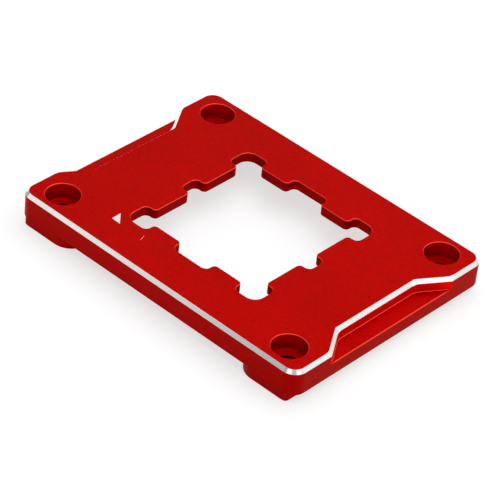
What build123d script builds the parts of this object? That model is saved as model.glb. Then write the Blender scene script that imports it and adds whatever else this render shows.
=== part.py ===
"""Retention frame for a land-grid processor socket: one plate milled from aluminium.

The frame stands on its four feet at Z = 0 with its working face up. X runs along the
short sides, Y along the long sides, and the origin is the centre of the footprint.
Every length is in millimetres.
"""
from build123d import *
import os

# What the frame fits: the square carrier of the processor, and the screws of the socket
carrier_size = 40.0
screw_hole_diameter = 3.6
screw_head_diameter = 7.0
screw_head_depth = 3.65

# Recesses in the underside: the carrier's, and below it the wider one for the socket's body
carrier_clearance = 0.3
socket_side_margin = 1.6
socket_end_margin = 5.1
recess_corner_radius = 2.0

# Outer form, built outwards from the socket's recess
rail_width = 5.1
screw_side_inset = 5.5
screw_setback = 4.7
screw_end_inset = 6.55
corner_radius = 3.0
overall_height = 7.25
rim_chamfer = 0.68

# Thicknesses, each measured down from the top face
web_thickness = 2.2
seat_thickness = 3.6
rail_thickness = 4.9
end_bar_thickness = 5.65

# Central opening, cut to the outline of the processor's lid: its tabs reach in over the carrier
tab_reach = 5.325
notch_depth = 2.475
side_notch_width = 8.8
end_notch_width = 4.2
lobe_width = 5.6
lobe_length = 5.45
tip_corner_radius = 1.0
root_corner_radius = 1.15
lobe_corner_radius = 2.25
edge_break = 0.14

# Scoops in the middle of the two short ends, whose sides slant in from the mouth to the back
scoop_shoulder = 9.9
scoop_run = 6.15
scoop_inset = 3.96
scoop_depth = 2.6
scoop_mouth_radius = 1.5
scoop_back_radius = 1.5

# Feet
foot_width = 10.6
foot_length = 13.2
foot_end_inset = 1.6
foot_corner_radius = 1.2
foot_heel_radius = 4.4
# A foot's milled outline runs this far past the long side that the foot is flush with
foot_overrun = 0.15
# The end bars begin this far past the place where the rounded heels meet the long sides
bar_setback = 0.2

# Widths and lengths that follow from those above
carrier_recess = carrier_size + 2 * carrier_clearance
socket_recess_width = carrier_recess + 2 * socket_side_margin
socket_recess_length = carrier_recess + 2 * socket_end_margin
frame_width = socket_recess_width + 2 * rail_width
hole_spacing_x = frame_width - 2 * screw_side_inset
hole_spacing_y = socket_recess_length + 2 * screw_setback
frame_length = hole_spacing_y + 2 * screw_end_inset
half_width = frame_width / 2
half_length = frame_length / 2

scoop_mouth = half_width - scoop_shoulder
scoop_back = scoop_mouth - scoop_run
scoop_back_face = half_length - scoop_inset
foot_toe = half_length - foot_end_inset
foot_heel = foot_toe - foot_length
foot_inside = half_width - foot_width
bar_start = foot_heel + foot_heel_radius + bar_setback

# The opening's faces and corners, as distances from the centre
tab_face = carrier_size / 2 - tab_reach
notch_face = tab_face + notch_depth
side_tab_start = side_notch_width / 2
side_tab_end = notch_face - lobe_length
end_tab_start = end_notch_width / 2
end_tab_end = notch_face - lobe_width

# Heights above the surface that the feet stand on
top_face = overall_height
web_underside = top_face - web_thickness
seat_underside = top_face - seat_thickness
rail_underside = top_face - rail_thickness
bar_underside = top_face - end_bar_thickness
scoop_floor = top_face - scoop_depth

# How far a cutting outline runs past the face that it opens through
run_out = 1.0
# How near a corner has to be to the place where it is looked for
nearness = 0.01


def near(value, target):
    return abs(abs(value) - target) < nearness


def corners(sketch, x, y):
    """The corners of a sketch at (x, y) and at its mirror images across both axes."""
    return sketch.vertices().filter_by(lambda v: near(v.X, x) and near(v.Y, y))


with BuildPart() as retention_frame:
    # The block up to the scoop floors, as a plain rounded rectangle
    with BuildSketch():
        RectangleRounded(frame_width, frame_length, corner_radius)
    extrude(amount=scoop_floor)

    # From the scoop floors to the top face the outline steps in at both ends
    with BuildSketch(Plane.XY.offset(scoop_floor)) as upper_outline:
        RectangleRounded(frame_width, frame_length, corner_radius)
        with BuildSketch(mode=Mode.PRIVATE) as scoop:
            with BuildLine():
                Polyline(
                    (-scoop_mouth, half_length),
                    (-scoop_back, scoop_back_face),
                    (scoop_back, scoop_back_face),
                    (scoop_mouth, half_length),
                    (scoop_mouth, half_length + run_out),
                    (-scoop_mouth, half_length + run_out),
                    close=True,
                )
            make_face()
            mirror(about=Plane.XZ)
        add(scoop.sketch, mode=Mode.SUBTRACT)
        fillet(corners(upper_outline, scoop_mouth, half_length), scoop_mouth_radius)
        fillet(corners(upper_outline, scoop_back, scoop_back_face), scoop_back_radius)
    extrude(amount=scoop_depth)

    # The outlines of the four feet, flush with the long sides and set back from the short ones
    with BuildSketch(mode=Mode.PRIVATE) as feet:
        with Locations(((foot_inside + half_width + foot_overrun) / 2, (foot_toe + foot_heel) / 2)):
            Rectangle(foot_width + foot_overrun, foot_length)
        toe_corners = feet.vertices().filter_by(lambda v: near(v.Y, foot_toe))
        fillet(toe_corners + corners(feet, foot_inside, foot_heel), foot_corner_radius)
        mirror(about=Plane.YZ)
        mirror(about=Plane.XZ)

    # The underside is milled away round the feet: to the end bars, and between them to the side rails
    with BuildSketch():
        Rectangle(frame_width + 2 * run_out, frame_length + 2 * run_out)
        add(feet.sketch, mode=Mode.SUBTRACT)
    extrude(amount=bar_underside, mode=Mode.SUBTRACT)
    with BuildSketch():
        Rectangle(frame_width + 2 * run_out, 2 * bar_start)
        add(feet.sketch, mode=Mode.SUBTRACT)
    extrude(amount=rail_underside, mode=Mode.SUBTRACT)

    # The heels are well rounded where the feet meet the long sides
    heels = retention_frame.edges().filter_by(Axis.Z).filter_by(
        lambda e: near(e.center().X, half_width) and near(e.center().Y, foot_heel)
    )
    fillet(heels, foot_heel_radius)

    # The socket's body is cleared from below, then the processor's carrier above it
    with BuildSketch():
        RectangleRounded(socket_recess_width, socket_recess_length, recess_corner_radius)
    extrude(amount=seat_underside, mode=Mode.SUBTRACT)
    with BuildSketch(Plane.XY.offset(seat_underside)):
        RectangleRounded(carrier_recess, carrier_recess, recess_corner_radius)
    extrude(amount=web_underside - seat_underside, mode=Mode.SUBTRACT)

    # The opening: eight tabs between four notches and four corner lobes
    with BuildSketch(Plane.XY.offset(web_underside)) as opening:
        Rectangle(2 * tab_face, 2 * tab_face)
        Rectangle(2 * notch_face, side_notch_width)
        Rectangle(end_notch_width, 2 * notch_face)
        with GridLocations(notch_face + end_tab_end, notch_face + side_tab_end, 2, 2):
            Rectangle(lobe_width, lobe_length)
        fillet(corners(opening, notch_face, notch_face), lobe_corner_radius)
        tips = corners(opening, tab_face, side_tab_start)
        tips += corners(opening, tab_face, side_tab_end)
        tips += corners(opening, end_tab_start, tab_face)
        tips += corners(opening, end_tab_end, tab_face)
        fillet(tips, tip_corner_radius)
        roots = corners(opening, notch_face, side_tab_start)
        roots += corners(opening, notch_face, side_tab_end)
        roots += corners(opening, end_tab_start, notch_face)
        roots += corners(opening, end_tab_end, notch_face)
        fillet(roots, root_corner_radius)
    extrude(amount=web_thickness, mode=Mode.SUBTRACT)

    # Counterbored screw holes through the corners
    with Locations(Plane.XY.offset(top_face)):
        with GridLocations(hole_spacing_x, hole_spacing_y, 2, 2):
            CounterBoreHole(
                radius=screw_hole_diameter / 2,
                counter_bore_radius=screw_head_diameter / 2,
                counter_bore_depth=screw_head_depth,
            )

    # The wide rim chamfer follows the scoops, and the inner edges are only broken
    top = retention_frame.faces().sort_by(Axis.Z)[-1]
    chamfer(top.outer_wire().edges(), rim_chamfer)
    top = retention_frame.faces().sort_by(Axis.Z)[-1]
    inner_edges = ShapeList([edge for wire in top.inner_wires() for edge in wire.edges()])
    chamfer(inner_edges, edge_break)

os.makedirs("parts", exist_ok=True)
retention_frame.part.label = "retention_frame"
export_step(retention_frame.part, "parts/retention_frame.step")

frame_bounds = retention_frame.part.bounding_box()
print("size", frame_bounds.size, "volume", round(retention_frame.part.volume, 1))
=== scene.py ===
# %% [markdown]
# # A milled and anodised retention frame
# This lesson dresses one part: the frame that holds a processor down in its socket. The real
# frame is milled from a single plate of aluminium, blasted with fine beads, anodised and dyed
# red. At the very end a diamond tool cuts the wide chamfer round its top rim, which leaves
# that one band of bare bright metal.
# The model of the plate comes in with its real size and place, in metres, centred on the Z axis
# and with its feet on Z = 0. Nothing here moves or resizes it: the lesson is about edges,
# finish and light.

# %% Load the plate and note its box
import bmesh
import bpy
import math
from mathutils import Matrix, Vector


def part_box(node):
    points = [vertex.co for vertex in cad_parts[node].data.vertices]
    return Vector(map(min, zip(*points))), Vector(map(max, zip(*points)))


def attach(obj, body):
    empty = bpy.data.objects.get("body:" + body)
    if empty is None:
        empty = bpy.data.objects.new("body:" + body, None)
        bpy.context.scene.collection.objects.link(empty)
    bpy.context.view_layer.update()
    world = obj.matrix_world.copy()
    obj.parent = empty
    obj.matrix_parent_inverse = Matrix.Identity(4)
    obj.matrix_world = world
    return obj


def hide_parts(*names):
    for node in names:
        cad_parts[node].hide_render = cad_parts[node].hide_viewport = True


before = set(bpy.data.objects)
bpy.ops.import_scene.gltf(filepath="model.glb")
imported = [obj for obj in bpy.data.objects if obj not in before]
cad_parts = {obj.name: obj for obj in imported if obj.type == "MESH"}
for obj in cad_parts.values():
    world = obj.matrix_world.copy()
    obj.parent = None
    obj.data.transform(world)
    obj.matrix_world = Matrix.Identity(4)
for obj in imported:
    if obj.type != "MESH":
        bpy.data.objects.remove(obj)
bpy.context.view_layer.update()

millimetre = 0.001
frame_low, frame_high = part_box("retention_frame")
half_width, half_length, top_height = frame_high
print("plate", [round(side / millimetre, 2) for side in frame_high - frame_low], "mm")

# %% [markdown]
# ## One closed skin instead of loose triangles
# The plate arrives as loose triangles, which is fine to look at and poor to work on: nothing
# knows its neighbour, so no edge can be rounded. The form could be modelled again, but it is
# already right. So a copy of it is merged into one skin, and every seam between triangles that
# lie in one plane is dissolved. What is left are the faces that the milling cutter made.

# %% Merge a copy and dissolve the flat seams
merge_distance = 0.001 * millimetre
flat_angle = math.radians(0.6)

plate = bmesh.new()
plate.from_mesh(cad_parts["retention_frame"].data)
loose_triangles = len(plate.faces)
bmesh.ops.remove_doubles(plate, verts=plate.verts[:], dist=merge_distance)
bmesh.ops.dissolve_limit(
    plate,
    angle_limit=flat_angle,
    use_dissolve_boundaries=False,
    verts=plate.verts[:],
    edges=plate.edges[:],
    delimit=set(),
)
open_edges = [edge for edge in plate.edges if not edge.is_manifold]
print(loose_triangles, "triangles became", len(plate.faces), "faces, open edges:", len(open_edges))

# %% [markdown]
# ## The corners of the scoops
# A scoop is cut into the middle of each short end. Its wall and the chamfer above it don't
# turn alike, because two tools cut them. At the mouth the wall turns almost sharply, while the
# diamond tool rounds off its path and leaves a wider curve. At the back the end mill leaves its
# own radius in the wall, while the chamfer's upper edge turns more tightly. The model gives
# them all one radius, so every curve is brought to its own.
# The curves could be drawn anew, and the faces beside them fitted. It is simpler to scale each
# one about the point where its straight sides would meet: its ends then stay on the sides, and
# the flats beside it stay flat.

# %% Where the scoops turn, and how tightly
scoop_shoulder = 9.9 * millimetre
scoop_run = 6.15 * millimetre
scoop_inset = 3.96 * millimetre
scoop_depth = 2.6 * millimetre
rim_chamfer = 0.68 * millimetre
model_radius = 1.5 * millimetre

scoop_floor = top_height - scoop_depth
scoop_mouth = Vector((half_width - scoop_shoulder, half_length))
scoop_back = scoop_mouth - Vector((scoop_run, scoop_inset))
# Along its straight stretches the chamfer's upper edge keeps one distance from the wall
slant = math.atan2(scoop_inset, scoop_run)
rim_offset = Vector((rim_chamfer * math.tan(slant / 2), -rim_chamfer))
# That edge lies further into the plate, so the model turns it more tightly than the wall at the
# mouth, and more widely at the back
scoop_corners = [
    {
        "wall": scoop_mouth,
        "rim": scoop_mouth + rim_offset,
        "wall_radius": 0.45 * millimetre,
        "rim_radius": 2.952 * millimetre,
        "model_rim_radius": model_radius - rim_chamfer,
    },
    {
        "wall": scoop_back,
        "rim": scoop_back + rim_offset,
        "wall_radius": 3.6 * millimetre,
        "rim_radius": 0.981 * millimetre,
        "model_rim_radius": model_radius + rim_chamfer,
    },
]
for corner in scoop_corners:
    print("scoop corner at", [round(along / millimetre, 2) for along in corner["wall"]], "mm")

# %% [markdown]
# At each of the eight corners the faces between the wall's arc and the rim's arc are taken out,
# both arcs are scaled, and the gap is bridged again.

# %% Turn each scoop corner as its tools do
corner_reach = 0.85 * millimetre
wall_arc_reach = 0.46 * millimetre
slope_low, slope_high = 0.6, 0.8


def slopes(face):
    """True for a face that looks up at about 45 degrees."""
    return slope_low < face.normal.z < slope_high


def is_level(edge):
    return abs(edge.verts[0].co.z - edge.verts[1].co.z) < merge_distance


def face_up(face):
    """Turns a new face so that it looks up."""
    face.normal_update()
    if face.normal.z < 0:
        face.normal_flip()


def reach(point, corner, side):
    """The level distance of a point from a corner on one side of the plate."""
    return math.hypot(*(point[axis] - side[axis] * corner[axis] for axis in (0, 1)))


def scale_about(ends, corner, side, factor):
    """Scales vertices level about a corner on one side of the plate."""
    for end in ends:
        for axis in (0, 1):
            centre = side[axis] * corner[axis]
            end.co[axis] = centre + (end.co[axis] - centre) * factor


for corner in scoop_corners:
    wall_factor = corner["wall_radius"] / model_radius
    rim_factor = corner["rim_radius"] / corner["model_rim_radius"]
    for side in ((-1, -1), (-1, 1), (1, -1), (1, 1)):
        between = [
            face
            for face in plate.faces
            if slopes(face)
            and all(reach(end.co, corner["wall"], side) < corner_reach for end in face.verts)
        ]
        outline = [edge for face in between for edge in face.edges]
        arcs = [edge for edge in outline if outline.count(edge) == 1 and is_level(edge)]
        rim_arc = {end for edge in arcs for end in edge.verts if top_height - end.co.z < merge_distance}
        wall_arc = {
            end
            for end in plate.verts
            if end not in rim_arc
            and end.co.z > scoop_floor - merge_distance
            and reach(end.co, corner["wall"], side) < wall_arc_reach
        }
        bmesh.ops.delete(plate, geom=between, context="FACES")
        scale_about([end for end in rim_arc if end.is_valid], corner["rim"], side, rim_factor)
        scale_about([end for end in wall_arc if end.is_valid], corner["wall"], side, wall_factor)
        bridged = bmesh.ops.bridge_loops(plate, edges=arcs)["faces"]
        for face in bridged:
            face_up(face)
        print("scoop corner", side, len(between), "faces became", len(bridged))
plate.normal_update()

# %% [markdown]
# ## Which face belongs to which cut
# The finish changes from cut to cut, so the faces are sorted before anything is rounded. The
# walls of the scoops and the seats of the screw heads are too tight for the beads to strike
# squarely, so they keep the finer skin that the tool leaves: an end mill's side in the scoops,
# and a counterbore in the seats. Their red is also brighter than the top's, which is painted
# light for the light these hollows gather. The narrow bores under the seats are drilled, which
# leaves them rough; their dark red is painted shade. All of these are found by their place.

# %% Where each cut is
finish_names = ["blasted", "milled", "seat", "bore", "edge", "cut", "mark", "scratch"]
finishes = {name: slot for slot, name in enumerate(finish_names)}

hole_side_inset = 5.5 * millimetre
hole_end_inset = 6.55 * millimetre
hole_centre = Vector((half_width - hole_side_inset, half_length - hole_end_inset))
hole_reach = 3.52 * millimetre
seat_depth = 3.65 * millimetre
seat_height = top_height - seat_depth
mouth_margin = 0.6 * millimetre
scoop_half_width = scoop_mouth.x + mouth_margin
slack = 0.05 * millimetre


def in_hole(point):
    """True inside one of the four screw holes."""
    return math.hypot(abs(point.x) - hole_centre.x, abs(point.y) - hole_centre.y) < hole_reach


def in_head_seat(point):
    """True in the wide upper part of a screw hole, where the screw's head sits."""
    return in_hole(point) and point.z > seat_height - slack


def in_bore(point):
    """True in the narrow bore under a head seat."""
    return in_hole(point) and point.z < seat_height + slack


def in_scoop(point):
    """True inside one of the two scoops, its walls and its floor included."""
    inside = abs(point.x) < scoop_half_width and abs(point.y) > scoop_back.y - slack
    return inside and point.z > scoop_floor - slack


# %% [markdown]
# The wide rim chamfer and the fine edge breaks both slope at 45 degrees. They differ in how
# deep they reach below the top face, and that tells them apart.

# %% Sort the faces by slope, depth and place
rim_depth = 0.2 * millimetre
level = 0.999


def depth(face):
    """How far the face reaches below the top face."""
    return top_height - min(corner.co.z for corner in face.verts)


sloping = [face for face in plate.faces if slopes(face)]
rim_faces = [face for face in sloping if depth(face) > rim_depth]
edge_break_faces = [face for face in sloping if depth(face) <= rim_depth]
for face in plate.faces:
    corners = [corner.co for corner in face.verts]
    if face in rim_faces:
        face.material_index = finishes["cut"]
    elif face in edge_break_faces:
        face.material_index = finishes["edge"]
    # Bores get a dark red that is painted shade, seats and scoop walls a bright red that is painted light
    elif all(map(in_bore, corners)) and abs(face.normal.z) < level:
        face.material_index = finishes["bore"]
    elif all(map(in_head_seat, corners)):
        face.material_index = finishes["seat"]
    elif all(map(in_scoop, corners)) and face.normal.z < level:
        face.material_index = finishes["milled"]
print("rim chamfer:", len(rim_faces), "faces, edge breaks:", len(edge_break_faces), "faces")

# %% [markdown]
# ## The pointer mark and a scratch
# A small pale triangle on the top face points at the corner where the processor's first
# contact goes. On the real frame a laser burns the dye out of the oxide, so the mark has no
# thickness. A decal could lie over the face, but it would float. Here the mark is part of the
# face itself: the flat top is taken out, the mark's outline is laid in as edges, and the flat
# is filled again round it. One short scratch is let in the same way.

# %% Lay the two outlines into the top face
mark_corners = [(-19.56, 18.46), (-17.14, 18.57), (-19.64, 16.21)]
scratch_corners = [(-20.17, 9.99), (-18.78, 10.46), (-18.8, 10.54), (-20.19, 10.07)]


def lay_outline(corners, finish):
    """Lays an outline, in millimetres, into the top face's plane and fills it with its finish."""
    points = [plate.verts.new((x * millimetre, y * millimetre, top_height)) for x, y in corners]
    edges = [plate.edges.new(pair) for pair in zip(points, points[1:] + points[:1])]
    patch = bmesh.ops.contextual_create(plate, geom=edges)["faces"][0]
    face_up(patch)
    patch.material_index = finishes[finish]
    return edges


def is_top(face):
    """True for a face that lies in the flat top."""
    return face.normal.z > level and depth(face) < merge_distance


top_faces = [face for face in plate.faces if is_top(face)]
border = [
    edge
    for face in top_faces
    for edge in face.edges
    if not all(neighbour in top_faces for neighbour in edge.link_faces)
]
bmesh.ops.delete(plate, geom=top_faces, context="FACES")
outlines = border + lay_outline(mark_corners, "mark") + lay_outline(scratch_corners, "scratch")
filled = bmesh.ops.triangle_fill(plate, use_beauty=True, edges=outlines, normal=(0, 0, 1))
new_top = [part for part in filled["geom"] if isinstance(part, bmesh.types.BMFace)]
print("top face filled with", len(new_top), "faces")

# %% [markdown]
# ## Breaking the milled edges
# No milled edge is left razor sharp: beads and acid both round it a little before the dye goes
# in, and the thin bright line along such an edge is what makes it read as metal. The rim
# chamfer is the exception, because it is cut last, so its own edges stay crisp. A Bevel
# modifier would round these too, so the edges are picked here by their angle, and a bmesh
# bevel rounds only them.
# A bevel needs room where an edge ends. The walls of the scoops, and those of the feet, run
# smoothly out into the plate's outside, so two edges meet there at almost no angle. The inner
# corner of the two stays sharp over its last half millimetre. The rims of the bores stay sharp
# too, because beads hardly reach them under the seats of the screw heads.

# %% Which edges are rounded
sharp_angle = math.radians(40)
run_out = 0.45 * millimetre
cut_faces = set(rim_faces) | set(edge_break_faces)


def is_milled(edge):
    """True for a sharp edge between two faces that the end mill made."""
    return edge.calc_face_angle(0) > sharp_angle and not cut_faces & set(edge.link_faces)


def on_scoop_floor(edge):
    return all(in_scoop(end.co) and end.co.z < scoop_floor + slack for end in edge.verts)


def runs_out(edge):
    """True for an inner corner that lies close to the plate's outside."""
    near_side = all(half_width - abs(end.co.x) < run_out for end in edge.verts)
    near_end = all(half_length - abs(end.co.y) < run_out for end in edge.verts)
    return edge.calc_face_angle_signed(0) < 0 and (near_side or near_end)


def is_bore_rim(edge):
    return all(in_hole(end.co) for end in edge.verts) and edge.calc_face_angle_signed(0) > 0


# %% [markdown]
# The long edges of a scoop's floor are split first, so that only their last stretch narrows
# where they meet others. The oxide is thin on a rounded edge and takes less dye, so these faces
# get a paler finish of their own. The pale red is also a painted highlight: the faces that look
# down at the table don't get it.

# %% Round the sharp edges between milled faces
milled_break = 0.16 * millimetre
break_segments = 3
long_edge = 3 * millimetre
floor_cuts = 20
underneath = -0.1

floor_edges = [edge for edge in plate.edges if is_milled(edge) and on_scoop_floor(edge)]
long_edges = [edge for edge in floor_edges if edge.calc_length() > long_edge]
bmesh.ops.subdivide_edges(plate, edges=long_edges, cuts=floor_cuts)
milled_edges = [
    edge
    for edge in plate.edges
    if is_milled(edge) and not runs_out(edge) and not is_bore_rim(edge)
]
rounded = bmesh.ops.bevel(
    plate,
    geom=milled_edges,
    affect="EDGES",
    offset=milled_break,
    offset_type="OFFSET",
    segments=break_segments,
    profile=0.5,
    material=-1,
    clamp_overlap=False,
)
plate.normal_update()
rounded_faces = set(rounded["faces"])
for face in rounded_faces:
    # Rounded edges in the holes take the seats' brighter red, which is painted light
    if all(in_hole(corner.co) for corner in face.verts):
        face.material_index = finishes["seat"]
    # Only rounded edges that look up get the pale red: partly thin oxide, partly a painted highlight
    elif face.normal.z > underneath:
        face.material_index = finishes["edge"]
print(len(milled_edges), "edges rounded with", len(rounded_faces), "faces")

# %% [markdown]
# ## Light on flats and edges
# The faces are shaded smooth, apart from edges where the slope jumps, and from the two edges of
# the rim chamfer, which the tool leaves crisp. On its own, smooth shading would bend the light
# on the large flat faces next to the small rounded edges. A Weighted Normal modifier lets some
# faces decide: at each vertex only those count that are marked as strong. The top, with all its
# slivers, and every other large flat face are marked, so the flats stay flat and only the small
# edges turn. The walls of the holes are round, and are left unmarked. The modifier could weigh
# the faces by their area instead, but the areas of such a small part, in square metres, are too
# small for it.

# %% Mark the crisp edges and the strong faces
crease_angle = math.radians(50)
flat_area = 3 * millimetre ** 2
# The number by which the modifier knows a strong face
strong = 16384


def decides(face):
    """True for a face that alone sets the slope at its corners."""
    large = face.calc_area() > flat_area and face.material_index != finishes["seat"]
    return is_top(face) or (large and face not in rounded_faces)


plate.normal_update()
strength = plate.faces.layers.int.new("__mod_weightednormals_faceweight")
for edge in plate.edges:
    neighbours = {face.material_index for face in edge.link_faces}
    rim_edge = finishes["cut"] in neighbours and len(neighbours) > 1
    edge.smooth = not rim_edge and edge.calc_face_angle(0) < crease_angle
for face in plate.faces:
    face.smooth = True
    if decides(face):
        face[strength] = strong
print("strong faces:", len([face for face in plate.faces if face[strength] == strong]))

# %% [markdown]
# ## From the skin to a piece
# The skin becomes the mesh of one object. The loose triangles brought slopes and a flat map of
# their own, which fit no longer, so both are dropped. The piece rides on the body of the plate
# and stands for it.

# %% Make the piece
open_edges = [edge for edge in plate.edges if not edge.is_manifold]
finished_mesh = bpy.data.meshes.new("milled_frame")
plate.to_mesh(finished_mesh)
plate.free()
for name in ("custom_normal", "UVMap"):
    if name in finished_mesh.attributes:
        finished_mesh.attributes.remove(finished_mesh.attributes[name])

milled_frame = bpy.data.objects.new("milled_frame", finished_mesh)
bpy.context.scene.collection.objects.link(milled_frame)
even_shading = milled_frame.modifiers.new("even_shading", "WEIGHTED_NORMAL")
even_shading.mode = "CORNER_ANGLE"
even_shading.keep_sharp = True
even_shading.use_face_influence = True
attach(milled_frame, "root")
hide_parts("retention_frame")
print("milled_frame:", len(finished_mesh.polygons), "faces, open edges:", len(open_edges))

# %% [markdown]
# ## Tools for the finishes
# Every finish is a small network of nodes. Colours are written the way a picture shows them,
# as sRGB hex values, and one function turns them to the linear values that light is worked
# out in. One more function adds a node with its settings and its links.

# %% Colour and node helpers
# Nearly all of a noise texture's values lie between these two
noise_low, noise_high = 0.3, 0.7


def from_hex(colour):
    """A linear RGBA colour from an sRGB hex value such as #c0392b, by the standard's own curve."""
    shares = [int(colour[start:start + 2], 16) / 255 for start in (1, 3, 5)]
    linear = [
        share / 12.92 if share <= 0.04045 else ((share + 0.055) / 1.055) ** 2.4
        for share in shares
    ]
    return (*linear, 1)


def add_node(tree, kind, inputs=None, **settings):
    """Adds a node, with its settings, and with each input set to a value or linked to a socket."""
    node = tree.nodes.new(kind)
    for name, value in settings.items():
        setattr(node, name, value)
    for name, value in (inputs or {}).items():
        if isinstance(value, bpy.types.NodeSocket):
            tree.links.new(value, node.inputs[name])
        else:
            node.inputs[name].default_value = value
    return node


def new_finish(name):
    """An empty material and its node tree."""
    material = bpy.data.materials.new(name)
    material.use_nodes = True
    material.node_tree.nodes.clear()
    return material, material.node_tree


# %% [markdown]
# ## Dyed anodised aluminium
# Beads blast the milled plate matt, the acid bath grows a layer of clear oxide on it, and red
# dye is drawn into the layer's pores. Light passes through the dye, meets the metal and comes
# back through the dye, so the metal's reflections themselves are red. It could be made as a red
# paint under a gloss coat, but that would shine white. So the finish is a metal with a red
# colour, and only at a grazing angle does its reflection turn pale. Its highlight is broad,
# from the blasting. The dye takes unevenly: in fine mottles, and in wide faint clouds.
# Real grit leaves dimples of about 0.1 mm. That is too fine to show from here, so the dimples
# are drawn about three times as wide.

# %% Anodised aluminium
def anodised_aluminium(name, dyes_and_painted_light, roughness, dimple_depth):
    """Red anodised aluminium between two colours and two roughnesses."""
    dimple_size = 0.3 * millimetre
    mottle_size = 0.7 * millimetre
    cloud_size = 14 * millimetre
    cloud_share = 0.3
    blend_low, blend_high = 0.25, 1.05
    material, tree = new_finish(name)
    place = add_node(tree, "ShaderNodeTexCoord").outputs["Object"]
    dimples = add_node(
        tree, "ShaderNodeTexNoise", {"Vector": place, "Scale": 1 / dimple_size, "Detail": 2.0}
    )
    mottle = add_node(
        tree, "ShaderNodeTexNoise", {"Vector": place, "Scale": 1 / mottle_size, "Detail": 3.0}
    )
    cloud = add_node(
        tree, "ShaderNodeTexNoise", {"Vector": place, "Scale": 1 / cloud_size, "Detail": 1.0}
    )
    blend = add_node(
        tree,
        "ShaderNodeMath",
        {0: cloud.outputs["Fac"], 1: cloud_share, 2: mottle.outputs["Fac"]},
        operation="MULTIPLY_ADD",
    )
    share = add_node(
        tree,
        "ShaderNodeMapRange",
        {"Value": blend.outputs[0], "From Min": blend_low, "From Max": blend_high},
    )
    red_tone = add_node(
        tree,
        "ShaderNodeMix",
        {"Factor": share.outputs[0], "A": from_hex(dyes_and_painted_light[0]), "B": from_hex(dyes_and_painted_light[1])},
        data_type="RGBA",
    )
    gloss = add_node(
        tree,
        "ShaderNodeMapRange",
        {
            "Value": mottle.outputs["Fac"],
            "From Min": noise_low,
            "From Max": noise_high,
            "To Min": roughness[0],
            "To Max": roughness[1],
        },
    )
    bump = add_node(
        tree,
        "ShaderNodeBump",
        {"Height": dimples.outputs["Fac"], "Strength": 1.0, "Distance": dimple_depth},
    )
    shader = add_node(
        tree,
        "ShaderNodeBsdfPrincipled",
        {
            "Base Color": red_tone.outputs["Result"],
            "Metallic": 1.0,
            "Specular Tint": from_hex("#ffd4ce"),
            "Roughness": gloss.outputs[0],
            "Normal": bump.outputs[0],
        },
    )
    add_node(tree, "ShaderNodeOutputMaterial", {"Surface": shader.outputs[0]})
    return material


# %% [markdown]
# The same aluminium comes in five states, by the tool that last touched it. They differ in how
# red it is, how broad its highlight is and how deep its dimples are. Only the blasted red is the
# dye alone: the brighter red of the scoop walls and seats is painted light, the dark red of the
# bores painted shade, and the pale red of the edges partly a painted highlight.

# %% Five states of the red aluminium
def blasted_finish():
    """Beads leave even dimples, so the flats look grainy, with a broad highlight."""
    return anodised_aluminium(
        "blasted_anodised_aluminium",
        dyes_and_painted_light=("#900302", "#bc0403"),
        roughness=(0.4, 0.52),
        dimple_depth=0.04 * millimetre,
    )


def milled_finish_with_painted_light():
    """An end mill's side leaves a fine even skin; its bright red is painted light that the scoop walls
    gather.
    """
    return anodised_aluminium(
        "milled_anodised_aluminium_painted_light",
        dyes_and_painted_light=("#e40402", "#f40603"),
        roughness=(0.52, 0.58),
        dimple_depth=0.008 * millimetre,
    )


def counterbored_finish_with_painted_light():
    """A counterbore leaves a fine skin too; its red, brighter than the top's and a little deeper than the
    scoops' walls, is painted light.
    """
    return anodised_aluminium(
        "counterbored_anodised_aluminium_painted_light",
        dyes_and_painted_light=("#ba0402", "#c80503"),
        roughness=(0.42, 0.48),
        dimple_depth=0.008 * millimetre,
    )


def drilled_finish_with_painted_shade():
    """A drill tears the metal into a rough narrow wall; its dark red is painted shade."""
    return anodised_aluminium(
        "drilled_anodised_aluminium_painted_shade",
        dyes_and_painted_light=("#380201", "#480302"),
        roughness=(0.5, 0.6),
        dimple_depth=0.02 * millimetre,
    )


def edge_finish_with_painted_highlight():
    """A paler red on rounded edges: partly thin oxide that takes less dye, partly a painted highlight."""
    return anodised_aluminium(
        "thin_oxide_and_painted_highlight_on_edges",
        dyes_and_painted_light=("#dd3a2c", "#e54536"),
        roughness=(0.32, 0.38),
        dimple_depth=0.001 * millimetre,
    )


# %% [markdown]
# ## Diamond-cut aluminium
# The rim chamfer is cut after the dye, so it is bare metal, nearly a mirror, and shows the
# studio in bands of white and grey. The tool's feed leaves lines too fine to see one by one.
# They could be drawn as bump, but they only soften the mirror, so its roughness wavers a little
# instead.

# %% Bare cut aluminium
def cut_aluminium():
    """Bare metal that mirrors its surroundings a little softly."""
    waver_size = 0.5 * millimetre
    smoothest, roughest = 0.16, 0.22
    material, tree = new_finish("diamond_cut_aluminium")
    place = add_node(tree, "ShaderNodeTexCoord").outputs["Object"]
    waver = add_node(
        tree, "ShaderNodeTexNoise", {"Vector": place, "Scale": 1 / waver_size, "Detail": 2.0}
    )
    gloss = add_node(
        tree,
        "ShaderNodeMapRange",
        {
            "Value": waver.outputs["Fac"],
            "From Min": noise_low,
            "From Max": noise_high,
            "To Min": smoothest,
            "To Max": roughest,
        },
    )
    shader = add_node(
        tree,
        "ShaderNodeBsdfPrincipled",
        {"Base Color": from_hex("#f4f2f1"), "Metallic": 1.0, "Roughness": gloss.outputs[0]},
    )
    add_node(tree, "ShaderNodeOutputMaterial", {"Surface": shader.outputs[0]})
    return material


# %% [markdown]
# ## Laser-marked oxide and a scratch
# Where the laser has burned the dye out, the oxide is left milky and matt, a warm pale grey
# that scatters light instead of mirroring it. The scratch goes through the oxide and bares the
# metal, which shines through what is left of the dye as a pale pink line.

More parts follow.
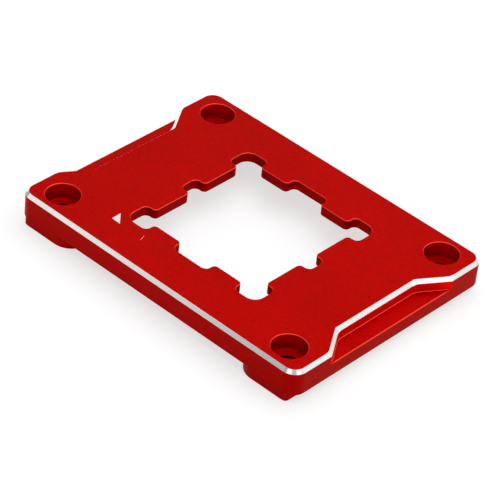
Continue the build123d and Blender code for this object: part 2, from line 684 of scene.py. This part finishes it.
# %% Laser mark and scratch
def lasered_oxide():
    """Milky oxide with a faint speckle."""
    speckle_size = 0.25 * millimetre
    material, tree = new_finish("laser_marked_oxide")
    place = add_node(tree, "ShaderNodeTexCoord").outputs["Object"]
    speckle = add_node(
        tree, "ShaderNodeTexNoise", {"Vector": place, "Scale": 1 / speckle_size, "Detail": 2.0}
    )
    tone = add_node(
        tree,
        "ShaderNodeMix",
        {"Factor": speckle.outputs["Fac"], "A": from_hex("#d9d0cc"), "B": from_hex("#ece4e0")},
        data_type="RGBA",
    )
    shader = add_node(
        tree,
        "ShaderNodeBsdfPrincipled",
        {"Base Color": tone.outputs["Result"], "Roughness": 0.65},
    )
    add_node(tree, "ShaderNodeOutputMaterial", {"Surface": shader.outputs[0]})
    return material


def scratched_aluminium():
    """Torn metal with some dye left on it."""
    material, tree = new_finish("scratched_aluminium")
    shader = add_node(
        tree,
        "ShaderNodeBsdfPrincipled",
        {"Base Color": from_hex("#e8a494"), "Metallic": 1.0, "Roughness": 0.5},
    )
    add_node(tree, "ShaderNodeOutputMaterial", {"Surface": shader.outputs[0]})
    return material


# %% [markdown]
# Each face already holds the number of its finish, so the materials go onto the mesh in the
# order in which the finishes were named.

# %% Put the finishes on the piece
makers = {
    "blasted": blasted_finish,
    "milled": milled_finish_with_painted_light,
    "seat": counterbored_finish_with_painted_light,
    "bore": drilled_finish_with_painted_shade,
    "edge": edge_finish_with_painted_highlight,
    "cut": cut_aluminium,
    "mark": lasered_oxide,
    "scratch": scratched_aluminium,
}
for name in finish_names:
    finished_mesh.materials.append(makers[name]())
print("finishes:", [material.name for material in finished_mesh.materials])

# %% [markdown]
# ## The camera
# The camera stands about half a metre away, above the near corner, with a long lens. Its
# place comes from the plate's own corners: given the real size, their positions in the
# picture fix the direction, the distance and the slight lean of the view.

# %% Place the camera
view_azimuth, view_elevation = -50.117, 37.363
view_lean = math.radians(6.244)
view_distance = 516.457 * millimetre
focal_length_px = 2680.86
picture_px = 500
centre_right = 0.313 * millimetre
centre_above = 5.118 * millimetre
nearest = 10 * millimetre


def direction(azimuth, elevation):
    """From the plate to a place round it, in degrees. Azimuth 0 is in front of a short side."""
    turn, rise = math.radians(azimuth), math.radians(elevation)
    return Vector((math.sin(turn) * math.cos(rise), -math.cos(turn) * math.cos(rise), math.sin(rise)))


back = direction(view_azimuth, view_elevation)
level_right = Vector((0, 0, 1)).cross(back).normalized()
level_up = back.cross(level_right)
right = level_right * math.cos(view_lean) + level_up * math.sin(view_lean)
up = level_up * math.cos(view_lean) - level_right * math.sin(view_lean)
top_centre = Vector((0, 0, top_height))
camera_place = top_centre + back * view_distance - right * centre_right - up * centre_above

camera_data = bpy.data.cameras.new("camera")
camera_data.lens = focal_length_px / picture_px * camera_data.sensor_width
camera_data.clip_start = nearest
camera = bpy.data.objects.new("camera", camera_data)
camera.matrix_world = Matrix.Translation(camera_place) @ Matrix((right, up, back)).transposed().to_4x4()
bpy.context.scene.collection.objects.link(camera)
bpy.context.scene.camera = camera
print("lens", round(camera_data.lens, 1), "mm, camera at", [round(along, 4) for along in camera_place])

# %% [markdown]
# ## The table
# The plate lies on a pale table. The table could have a thickness and edges, but the camera
# never sees that far, so it is one flat sheet, wide enough to fill the view.

# %% Table top
table_size = 4.0

table = bmesh.new()
bmesh.ops.create_grid(table, x_segments=1, y_segments=1, size=table_size / 2)
table_mesh = bpy.data.meshes.new("table")
table.to_mesh(table_mesh)
table.free()
table_top = bpy.data.objects.new("table", table_mesh)
bpy.context.scene.collection.objects.link(table_top)
print("table", table_size, "m wide")

# %% [markdown]
# Under plain light a board is short of pure white, and the plate's shadow on it is heavy. More
# light would wash the red out, so the board is a pale grey one with a glow of its own that
# makes up the rest and leaves a light shadow. Only rays that look at the board see the glow,
# straight or by way of a mirror: it lights nothing. A mirror close to the board stands in the
# same shade as the board under it, so for mirrors the glow fades towards the plate.

# %% Pale grey board with a glow
board_glow = 0.65
shade_share = 0.45
shade_reach = 10 * millimetre

board, board_tree = new_finish("pale_grey_board")
board_shader = add_node(
    board_tree, "ShaderNodeBsdfPrincipled", {"Base Color": from_hex("#a0a0a0"), "Roughness": 0.8}
)
board_place = add_node(board_tree, "ShaderNodeTexCoord").outputs["Object"]
aside = add_node(board_tree, "ShaderNodeVectorMath", {0: board_place}, operation="ABSOLUTE")
aside = add_node(
    board_tree,
    "ShaderNodeVectorMath",
    {0: aside.outputs[0], 1: (half_width, half_length, 0)},
    operation="SUBTRACT",
)
axes = add_node(board_tree, "ShaderNodeSeparateXYZ", {0: aside.outputs[0]}).outputs
clear_by = add_node(board_tree, "ShaderNodeMath", {0: axes["X"], 1: axes["Y"]}, operation="MAXIMUM")
open_share = add_node(
    board_tree,
    "ShaderNodeMapRange",
    {
        "Value": clear_by.outputs[0],
        "From Min": -shade_reach,
        "From Max": shade_reach,
        "To Min": shade_share,
        "To Max": 1.0,
    },
)
ray = add_node(board_tree, "ShaderNodeLightPath").outputs
by_mirror = add_node(
    board_tree, "ShaderNodeMath", {0: ray["Is Glossy Ray"], 1: ray["Is Transmission Ray"]}, operation="ADD"
)
by_mirror = add_node(
    board_tree, "ShaderNodeMath", {0: by_mirror.outputs[0], 1: open_share.outputs[0]}, operation="MULTIPLY"
)
looks = add_node(
    board_tree, "ShaderNodeMath", {0: ray["Is Camera Ray"], 1: by_mirror.outputs[0]}, operation="ADD"
)
glow_strength = add_node(
    board_tree, "ShaderNodeMath", {0: looks.outputs[0], 1: board_glow}, operation="MULTIPLY"
)
glow = add_node(board_tree, "ShaderNodeEmission", {"Strength": glow_strength.outputs[0]})
lit_board = add_node(
    board_tree, "ShaderNodeAddShader", {0: board_shader.outputs[0], 1: glow.outputs[0]}
)
add_node(board_tree, "ShaderNodeOutputMaterial", {"Surface": lit_board.outputs[0]})
table_mesh.materials.append(board)

# %% [markdown]
# ## The studio
# Metal shows its surroundings more than its own colour, so the studio is built for the
# reflections. The room could be one even grey, but then the plate would look flat. So it is
# bright on the camera's right and dim on its left.

# %% Room light, from a dim side to a bright side
dim_light, bright_light = 0.4, 1.1
bright_side = math.radians(75)
bright_rise = 0.1
blend_reach = 0.8

room = bpy.data.worlds.new("room")
bpy.context.scene.world = room
room.use_nodes = True
room.node_tree.nodes.clear()
towards = add_node(room.node_tree, "ShaderNodeTexCoord").outputs["Generated"]
facing = add_node(
    room.node_tree,
    "ShaderNodeVectorMath",
    {0: towards, 1: (math.sin(bright_side), -math.cos(bright_side), bright_rise)},
    operation="DOT_PRODUCT",
)
brightness = add_node(
    room.node_tree,
    "ShaderNodeMapRange",
    {
        "Value": facing.outputs["Value"],
        "From Min": -blend_reach,
        "From Max": blend_reach,
        "To Min": dim_light,
        "To Max": bright_light,
    },
    interpolation_type="SMOOTHSTEP",
)
sky = add_node(room.node_tree, "ShaderNodeBackground", {"Strength": brightness.outputs[0]})
add_node(room.node_tree, "ShaderNodeOutputWorld", {"Surface": sky.outputs[0]})
print("room light from", dim_light, "to", bright_light)

# %% [markdown]
# Soft boxes stand where the rim chamfer mirrors white bands. The long side's chamfer mirrors
# the rear left box, and the short side's mirrors the right box. The rounded corner between
# them shows the left and the front box as two bands, with grey between. The boxes at the top
# and at the rear light the top face.

# %% Soft boxes
def soft_box(name, azimuth, elevation, distance, width, height, radiance):
    """An area lamp that faces the plate."""
    lamp = bpy.data.lights.new(name, "AREA")
    lamp.shape = "RECTANGLE"
    lamp.size = width
    lamp.size_y = height
    lamp.energy = radiance * math.pi * width * height
    away = direction(azimuth, elevation)
    holder = bpy.data.objects.new(name, lamp)
    holder.matrix_world = (
        Matrix.Translation(away * distance) @ away.to_track_quat("Z", "Y").to_matrix().to_4x4()
    )
    bpy.context.scene.collection.objects.link(holder)
    print(name, "gives", round(lamp.energy, 2), "W")


soft_box("top_box", azimuth=0, elevation=90, distance=1.2, width=0.9, height=0.9, radiance=0.9)
soft_box("left_box", azimuth=-82, elevation=49, distance=1.2, width=0.6, height=0.6, radiance=0.78)
soft_box("front_box", azimuth=-5, elevation=46, distance=1.2, width=0.45, height=0.6, radiance=0.6)
soft_box("rear_left_box", azimuth=-145, elevation=34, distance=1.2, width=0.6, height=0.6, radiance=0.61)
soft_box("rear_box", azimuth=118, elevation=60, distance=1.5, width=1.2, height=0.8, radiance=1.4)
soft_box("right_box", azimuth=52, elevation=46, distance=1.2, width=0.6, height=0.5, radiance=1.4)

bpy.context.scene.view_settings.view_transform = "Standard"
